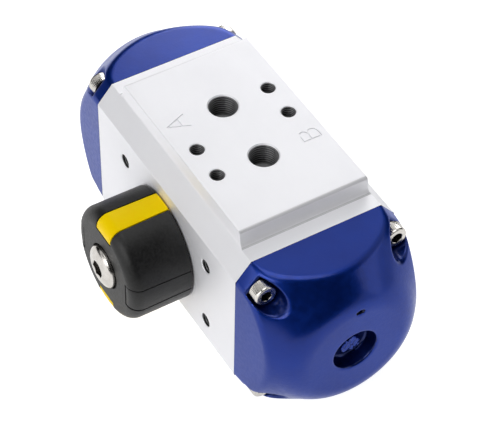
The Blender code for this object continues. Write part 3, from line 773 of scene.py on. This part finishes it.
def cap_field(p):
    """The whole outside of the cap."""
    across, up, out = np.abs(p[:, 0]), p[:, 1], p[:, 2]
    depth = CAP_DEPTH / MM
    radius = np.hypot(p[:, 0], up)
    height = np.clip(out, -2, 25)
    slope = np.polyval(FLARE_SLOPE, height)
    flare = (radius - np.polyval(FLARE, height)) / np.sqrt(1 + slope * slope)
    dome = blend_max(flare, out - depth, NOSE_FILLET)
    solid = blend_max(cap_flats(across, up, out), dome, SHOULDER_FILLET)
    inner, outer = POCKET_FILLETS
    for rise in SCREW_RISE:
        wall = np.hypot(across - SCREW_ACROSS, up - rise) - POCKET_RADIUS
        solid = blend_max(solid, -blend_max(wall, SCREW_SEAT - out, inner), outer)
    inner, outer = RECESS_FILLETS
    floor = depth - RECESS_DEPTH
    wall = radius - (RECESS_RADIUS - RECESS_TAPER * (depth - out))
    solid = blend_max(solid, -blend_max(wall, floor - out, inner), outer)
    solid = -blend_max(-solid, -boss_field(p, floor), BOSS_FILLETS[1])
    return blend_max(solid, (1 - notch_field(p)) * 0.7, NOTCH_FILLET)


def notch_field(p):
    """Under 1 inside the small notch in the nose."""
    x, y = NOTCH_PLACE
    width, height, depth = NOTCH_SIZE
    sunk = p[:, 2] - CAP_DEPTH / MM + 0.15
    across, up, out = (p[:, 0] - x) / width, (p[:, 1] - y) / height, sunk / depth
    return np.sqrt(across ** 2 + up ** 2 + out ** 2)


def cap_shade(p):
    """The painted shade of each face: joint face most, then the pockets' floors, notch and recess."""
    out = p[:, 2]
    depth = CAP_DEPTH / MM
    radius = np.hypot(p[:, 0], p[:, 1])
    recess = (radius < RECESS_RADIUS + 0.1) & (radius > BOSS_RADIUS + 0.8)
    shade = np.where(recess & (out < depth - 0.3) & (out > depth - 6), RECESS_SHADE, 0.0)
    for rise in SCREW_RISE:
        pocket = np.hypot(np.abs(p[:, 0]) - SCREW_ACROSS, p[:, 1] - rise)
        floor = np.abs(out - SCREW_SEAT - 0.25) < 0.3
        shade[(pocket < POCKET_RADIUS + 0.3) & (out > SCREW_SEAT - 1)] = POCKET_SHADE
        shade[(pocket < POCKET_RADIUS + 0.1) & floor] = POCKET_FLOOR_SHADE
    shade[notch_field(p) < 1.1] = NOTCH_SHADE
    shade[out < 0.02 - CAP_REACH] = 1.0
    return shade


def make_caps():
    """Both caps from one shape."""
    points, quads = field_mesh(cap_field, CAP_LOW, CAP_HIGH, CAP_STEP)
    shape = shape_of(points, quads)
    cut = bmesh.ops.bisect_plane(shape, geom=shape.verts[:] + shape.edges[:] + shape.faces[:],
                                 plane_co=(0, 0, -CAP_REACH), plane_no=(0, 0, -1), clear_outer=True)
    rim = [item for item in cut["geom_cut"] if isinstance(item, bmesh.types.BMEdge)]
    bmesh.ops.contextual_create(shape, geom=rim)
    base = mesh_of(shape, "cap_outside")
    cavity = turned([(0, -1), (17.5, -1), (17.5, 9), (15, 13), (10, 15.5), (0, 15.5)], 72)
    groove = turned([(23.1, -1), (25.7, -1), (25.7, 2.3), (23.1, 2.3)], 96, ring=True)
    cutters = [mesh_of(cavity, "cavity"), mesh_of(groove, "groove")]
    for across in (-SCREW_ACROSS, SCREW_ACROSS):
        for rise in SCREW_RISE:
            hole = turned([(0, -1), (2.3, -1), (2.3, SCREW_SEAT + 1), (0, SCREW_SEAT + 1)], 32)
            cutters.append(mesh_of(hole, "screw_hole", position=(across * MM, rise * MM, 0)))
    mesh = welded(combined("cap", base, [("DIFFERENCE", cutters)]))
    centres = face_centres(mesh)
    # Painted shade in the pockets, recess and notch and on the joint face, darkening the base colour.
    painted(mesh, "shade", cap_shade(centres))
    on_boss = np.hypot(centres[:, 0], centres[:, 1]) < BOSS_RADIUS + 0.8
    painted(mesh, "gloss", on_boss & (centres[:, 2] > 15))
    for side, facing, sign in SIDES:
        copy = mesh.copy()
        copy.transform(Matrix.Translation((sign * CAP_FACE, 0, AXIS)) @ facing)
        piece(f"blue_end_cap_{side}", copy, "housing", BLUE,
              [f"end_cap_{side}"], sharp=40.0)


# Screws

def hexagon(radius):
    """The corners of a hexagon with one corner on local X."""
    angles = [i * math.pi / 3 for i in range(6)]
    return [(radius * math.cos(angle), radius * math.sin(angle)) for angle in angles]


def socket_cutter(across_flats, top, depth):
    """A hexagon socket with a countersunk mouth and a drill point."""
    radius = across_flats / math.sqrt(3)
    floor = top - depth
    hexagonal = extruded(hexagon(radius), floor, top + 1)
    mouth = turned([(0, top - radius * 0.55), (radius * 1.08, top + 0.12),
                    (radius * 1.08, top + 1), (0, top + 1)], 48)
    point = turned([(0, floor - radius * 0.45), (radius * 0.86, floor + 0.02),
                    (radius * 0.5, floor + 0.3), (0, floor + 0.3)], 32)
    return hexagonal, mouth, point


def socket_shade(centres, radius, top, shade=0.85):
    """Painted shade on the faces in a screw's socket."""
    height = centres[:, 2]
    inside = (np.hypot(centres[:, 0], centres[:, 1]) < radius) & (height < top - 0.25)
    return np.where(inside & (height > top - 3.4), shade, 0.0)


def knurled_head(radius, height, ridges=40, dip=0.08):
    """A cap screw's head: knurled side, rounded top edge."""
    shape = bmesh.new()
    steps = ridges * 4
    levels = [(0.0, radius - 0.25, 0.0), (0.25, radius, 0.0), (0.45, radius, 1.0),
              (height - 1.05, radius, 1.0), (height - 0.75, radius, 0.0),
              (height - 0.55, radius, 0.0), (height - 0.2, radius - 0.15, 0.0),
              (height - 0.05, radius - 0.35, 0.0), (height, radius - 0.6, 0.0)]
    waves = [0.5 - 0.5 * math.cos(2 * math.pi * step / steps * ridges) for step in range(steps)]
    rings = [ring_of(shape, [size - dip * knurl * wave for wave in waves], level)
             for level, size, knurl in levels]
    skin(shape, rings)
    shape.faces.new(rings[0][::-1])
    shape.faces.new(rings[-1])
    return shape


def threaded_shank(radius, pitch, start, end, segments=24, rows=4):
    """A helical external thread between two heights."""
    shape = bmesh.new()
    rings = []
    count = int((end - start) / pitch * rows)
    for row in range(count + 1):
        height = start + (end - start) * row / count
        fade = min(1.0, row / rows, (count - row) / rows)
        radii = []
        for step in range(segments):
            phase = (height / pitch - step / segments) % 1.0
            crest = 1.0 - abs(phase - 0.5) * 2
            radii.append(radius - 0.45 * pitch * (1 - crest * fade))
        rings.append(ring_of(shape, radii, height))
    skin(shape, rings)
    shape.faces.new(rings[0][::-1])
    shape.faces.new(rings[-1])
    return shape


def make_cap_screws():
    """Eight copies of one M4 screw, each at its CAD node and turned its own way."""
    cutters = socket_cutter(across_flats=3.4, top=SCREW_HEAD, depth=2.2)
    sockets = [mesh_of(part, "socket") for part in cutters]
    shank = mesh_of(threaded_shank(radius=2.0, pitch=0.7, start=-15.0, end=0.4), "shank")
    mesh = combined("cap_screw", mesh_of(knurled_head(3.5, SCREW_HEAD), "head"),
                    [("UNION", [shank]), ("DIFFERENCE", sockets)])
    # Painted shade in the cap screw's socket.
    painted(mesh, "shade", socket_shade(face_centres(mesh), 2.3, SCREW_HEAD))
    seat = CAP_FACE + (SCREW_SEAT + SCREW_GAP) * MM
    for side, facing, sign in SIDES:
        for number in range(1, 5):
            node = f"cap_screw_{side}_{number}"
            low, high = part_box(node)
            across, up = (low[1] + high[1]) / 2, (low[2] + high[2]) / 2
            place = Matrix.Translation((sign * seat, across, up))
            spin = Matrix.Rotation(math.radians(17 + 53 * number + 29 * sign), 4, "Z")
            copy = mesh.copy()
            copy.transform(place @ facing @ spin)
            piece(f"socket_screw_{side}_{number}", copy, "housing", STAINLESS,
                  [node], sharp=25.0)


def make_indicator_screw():
    """The M8 screw with a low domed head, in the knob's middle."""
    head = -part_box("indicator_screw")[0][1] / MM
    seat = head - 3.6
    rim = seat + 1.6
    radius = 7.0
    dome = math.sin(math.radians(58))
    profile = [(0, seat - 2), (3.9, seat - 2), (3.9, seat), (radius - 0.3, seat),
               (radius, seat + 0.25), (radius, rim)]
    for step in range(1, 15):
        angle = math.radians(4 * step)
        profile.append((radius * math.cos(angle), rim + (head - rim) * math.sin(angle) / dome))
    profile += [(3.55, head - 0.01), (3.3, head), (0, head)]
    cutters = socket_cutter(across_flats=5.2, top=head, depth=2.7)
    sockets = [mesh_of(part, "socket") for part in cutters]
    shank = mesh_of(threaded_shank(radius=4.0, pitch=1.25, start=seat - 16, end=seat - 1.5,
                                   segments=40), "shank")
    mesh = combined("indicator_screw", mesh_of(turned(profile, 96), "button"),
                    [("UNION", [shank]), ("DIFFERENCE", sockets)])
    mesh = welded(mesh)
    # A lighter painted shade in the button screw's socket.
    painted(mesh, "shade", 0.6 * socket_shade(face_centres(mesh), 3.3, head))
    mesh.transform(ON_AXIS @ Matrix.Rotation(math.radians(12), 4, "Z"))
    piece("button_screw", mesh, "drive", STAINLESS, ["indicator_screw"], sharp=30.0)


# Position indicator: local millimetres, z out from the drive axis

KNOB_BACK = -KNOB_HIGH[1] / MM
KNOB_FRONT = -KNOB_LOW[1] / MM
KNOB_RADIUS = 18.6
KNOB_EDGE = 4.0

# The gap round each bar, how far a bar is sunk, how far its floor is from the axis, and its half
# widths.
KNOB_GAP = 0.4
BAR_SINK = 0.1
BAR_FLOOR = 13.5
BAR_BACK = 3.75
BAR_FACE = 4.2

# The hub's bore for the shaft, with its two flats. The hollow round the hub, how far it stays from
# the knob's face, and where the open back ends. The recess for the screw: radius and depth.
HUB_BORE = 7.8
HUB_FLAT = 6.3
KNOB_HOLLOW = (9.8, 12.0)
KNOB_FACE_DEPTH = 7.2
KNOB_BACK_END = 31
KNOB_RECESS = (7.6, 1.3)


def knob_form(offset=0.0):
    """The knob's outside, or the same form a little smaller."""
    radius = KNOB_RADIUS - offset
    front = KNOB_FRONT - offset
    edge = KNOB_EDGE - offset / 2
    profile = [(0, KNOB_BACK), (radius - 0.3, KNOB_BACK), (radius, KNOB_BACK + 0.3)]
    profile += arc((radius - edge, front - edge), edge, 0, 90, 14) + [(0, front)]
    return turned(profile, 160)


def bar_block(quarter, spread, floor):
    """A block round one bar, a little wider at the knob's face than at its back."""
    outline = [(-BAR_FACE - spread, KNOB_FRONT + 1), (-BAR_BACK - spread, KNOB_BACK - 1),
               (BAR_BACK + spread, KNOB_BACK - 1), (BAR_FACE + spread, KNOB_FRONT + 1)]
    shape = extruded(outline, -KNOB_RADIUS - 2, -floor)
    bmesh.ops.rotate(shape, verts=shape.verts, matrix=Matrix.Rotation(math.pi / 2, 3, "X"))
    return mesh_of(shape, "bar_block", Matrix.Rotation(quarter * math.pi / 2, 4, "Z"))


def hub_hole():
    """The outline of the hub's bore."""
    sweep = math.pi / 2 - math.acos(HUB_FLAT / HUB_BORE)
    points = []
    for base in (math.pi / 2, -math.pi / 2):
        for step in range(17):
            angle = base - sweep + 2 * sweep * step / 16
            points.append((HUB_BORE * math.cos(angle), HUB_BORE * math.sin(angle)))
    return points


def softened(mesh, name, width, angle=32.0):
    """A mesh with its sharp edges bevelled."""
    made = bpy.data.objects.new(name, welded(mesh))
    bpy.context.scene.collection.objects.link(made)
    modifier = made.modifiers.new("edges", "BEVEL")
    modifier.width = width * MM
    modifier.segments = 2
    modifier.limit_method = "ANGLE"
    modifier.angle_limit = math.radians(angle)
    modifier.use_clamp_overlap = True
    return welded(evaluated(made))


def make_indicator():
    """The knob with its slots, and the four bars in them."""
    slots = [bar_block(quarter, KNOB_GAP, BAR_FLOOR - KNOB_GAP) for quarter in range(4)]
    inner, outer = KNOB_HOLLOW
    floor = KNOB_FRONT - KNOB_FACE_DEPTH
    hollow = turned([(inner, 30), (outer, 30), (outer, floor), (inner, floor)], 96, ring=True)
    back = turned([(0, KNOB_BACK - 1), (outer, KNOB_BACK - 1),
                   (outer, KNOB_BACK_END), (0, KNOB_BACK_END)], 96)
    hub = extruded(hub_hole(), 30.5, 40.3)
    through = turned([(0, 39), (4.3, 39), (4.3, KNOB_FRONT), (0, KNOB_FRONT)], 48)
    radius, depth = KNOB_RECESS
    recess = turned([(0, KNOB_FRONT - depth), (radius - 0.1, KNOB_FRONT - depth),
                     (radius, KNOB_FRONT - depth + 0.1), (radius, KNOB_FRONT + 1),
                     (0, KNOB_FRONT + 1)], 120)
    cutters = slots + [mesh_of(shape, "cut") for shape in (hollow, back, hub, through, recess)]
    knob = combined("knob", mesh_of(knob_form(), "knob_form"), [("DIFFERENCE", cutters)])
    knob = softened(knob, "knob_soft", width=0.28)
    knob.transform(ON_AXIS)
    piece("indicator_housing", knob, "drive", BLACK,
          ["indicator_knob"], sharp=40.0)
    for quarter, name in enumerate(("yellow_1", "black_1", "yellow_2", "black_2")):
        node = f"indicator_bar_{name}"
        bar = combined(node, mesh_of(knob_form(BAR_SINK), "bar_form"),
                       [("INTERSECT", [bar_block(quarter, 0.0, BAR_FLOOR)])])
        bar = softened(bar, node + "_soft", width=0.12)
        bar.transform(ON_AXIS)
        slot, finish = ("yellow_plastic", YELLOW) if "yellow" in name else ("black_plastic", BLACK)
        piece(f"inlaid_bar_{name}", bar, "drive", finish, [node], sharp=40.0)


# Carried-over pieces

def finish_nodes():
    """Give every CAD node the material of its slot."""
    finishes = {"anodised_body": ANODISED, "blue_cap": BLUE, "stainless": STAINLESS,
                "seal_rubber": RUBBER, "bearing_plastic": BEARING, "piston_aluminium": PISTON,
                "drive_steel": STEEL, "black_plastic": BLACK, "yellow_plastic": YELLOW}
    slots = {entry["node"]: entry["material_slot"] for entry in frame["record"]["subparts"]}
    for name, node in frame["nodes"].items():
        node.data.materials.clear()
        node.data.materials.append(finishes[slots[name]])


# Stage, light and camera: lengths in metres

FLOOR_HALF = 3.0
FLOOR_LEVEL = -0.2 * MM
FLOOR_GLOW = 0.60
FLOOR_GLOW_SEEN = 0.32

# The world is lit in a band round this direction, given by the cosine of the angle from it.
BAND_AXIS = (0.573, -0.351, 0.741)
BAND_ENDS = (0.12, 0.58)
BAND_FULL = (0.18, 0.52)
BAND_LEVEL = 0.58
SEEN_LEVEL = 0.96

# Square area lights, all at one distance from the target: name, direction and power.
LIGHTS = (("key", (0.28, -0.72, 0.62), 3.3),
          ("top", (0.0, 0.0, 1.0), 2.2),
          ("rear_left", (-0.6, 0.4, 0.7), 0.5),
          ("low_front", (0.0, -0.95, 0.3), 1.2),
          ("low_rear", (-0.7, 0.6, 0.35), 3.7),
          ("side", (0.55, 0.8, 0.3), 0.6))
LIGHT_TARGET = Vector((0, 0, 0.03))
LIGHT_DISTANCE = 1.0
LIGHT_SIZE = 0.6

CAMERA_PLACE = Vector((0.37585, -0.23023, 0.50768))
CAMERA_RIGHT = Vector((0.50966, 0.86028, 0.01314))
CAMERA_UP = Vector((-0.64185, 0.37000, 0.67166))
CAMERA_LENS = 155.54


def make_floor():
    """A plain pale floor, brighter to the camera than to the object."""
    mesh = bpy.data.meshes.new("studio_floor")
    signs = ((-1, -1), (1, -1), (1, 1), (-1, 1))
    corners = [(x * FLOOR_HALF, y * FLOOR_HALF, FLOOR_LEVEL) for x, y in signs]
    mesh.from_pydata(corners, [], [(0, 1, 2, 3)])
    floor = bpy.data.objects.new("studio_floor", mesh)
    bpy.context.scene.collection.objects.link(floor)
    nodes = Nodes("pale_floor", Roughness=0.9)
    nodes.shader.inputs["Base Color"].default_value = (0.55, 0.55, 0.55, 1.0)
    nodes.shader.inputs["Specular IOR Level"].default_value = 0.1
    nodes.shader.inputs["Emission Color"].default_value = (1.0, 1.0, 1.0, 1.0)
    rays = nodes.tree.nodes.new("ShaderNodeLightPath").outputs["Is Camera Ray"]
    nodes.to(nodes.maths("MULTIPLY_ADD", rays, FLOOR_GLOW_SEEN, FLOOR_GLOW), "Emission Strength")
    mesh.materials.append(nodes.material)


def make_world():
    """A soft band of light around the room, in surroundings that look white to the camera."""
    world = bpy.data.worlds.new("studio")
    bpy.context.scene.world = world
    world.use_nodes = True
    tree = world.node_tree
    tree.nodes.clear()
    height = tree.nodes.new("ShaderNodeVectorMath")
    height.operation = "DOT_PRODUCT"
    height.inputs[1].default_value = BAND_AXIS
    tree.links.new(tree.nodes.new("ShaderNodeTexCoord").outputs["Generated"], height.inputs[0])
    band = tree.nodes.new("ShaderNodeValToRGB")
    for stop, position in zip(band.color_ramp.elements, BAND_ENDS):
        stop.color = (0.0, 0.0, 0.0, 1.0)
        stop.position = position
    for position in BAND_FULL:
        band.color_ramp.elements.new(position).color = (BAND_LEVEL, BAND_LEVEL, BAND_LEVEL, 1.0)
    tree.links.new(height.outputs["Value"], band.inputs["Fac"])
    soft = tree.nodes.new("ShaderNodeBackground")
    tree.links.new(band.outputs["Color"], soft.inputs["Color"])
    seen = tree.nodes.new("ShaderNodeBackground")
    seen.inputs["Color"].default_value = (SEEN_LEVEL, SEEN_LEVEL, SEEN_LEVEL, 1.0)
    rays = tree.nodes.new("ShaderNodeLightPath")
    pick = tree.nodes.new("ShaderNodeMixShader")
    tree.links.new(rays.outputs["Is Camera Ray"], pick.inputs["Fac"])
    tree.links.new(soft.outputs["Background"], pick.inputs[1])
    tree.links.new(seen.outputs["Background"], pick.inputs[2])
    output = tree.nodes.new("ShaderNodeOutputWorld")
    tree.links.new(pick.outputs["Shader"], output.inputs["Surface"])


def make_light(name, direction, power):
    """An area light that faces the target and isn't seen itself."""
    light = bpy.data.lights.new(name, "AREA")
    light.shape = "RECTANGLE"
    light.size = LIGHT_SIZE
    light.size_y = LIGHT_SIZE
    light.energy = power
    made = bpy.data.objects.new(name, light)
    bpy.context.scene.collection.objects.link(made)
    place = LIGHT_TARGET + Vector(direction).normalized() * LIGHT_DISTANCE
    made.location = place
    made.rotation_euler = (place - LIGHT_TARGET).to_track_quat("Z", "Y").to_euler()
    made.visible_camera = False


def make_camera():
    """The camera, from its place and directions above."""
    camera = bpy.data.cameras.new("camera")
    camera.lens = CAMERA_LENS
    camera.sensor_width = 36
    camera.clip_start = 0.01
    camera.clip_end = 20
    made = bpy.data.objects.new("camera", camera)
    bpy.context.scene.collection.objects.link(made)
    right = CAMERA_RIGHT.normalized()
    up = (CAMERA_UP - right * CAMERA_UP.dot(right)).normalized()
    turn = Matrix((right, up, right.cross(up))).transposed().to_4x4()
    made.matrix_world = Matrix.Translation(CAMERA_PLACE) @ turn
    bpy.context.scene.camera = made


bpy.context.scene.view_settings.view_transform = "Standard"
finish_nodes()
make_body()
make_caps()
make_cap_screws()
make_indicator_screw()
make_indicator()
make_floor()
make_world()
for light in LIGHTS:
    make_light(*light)
make_camera()
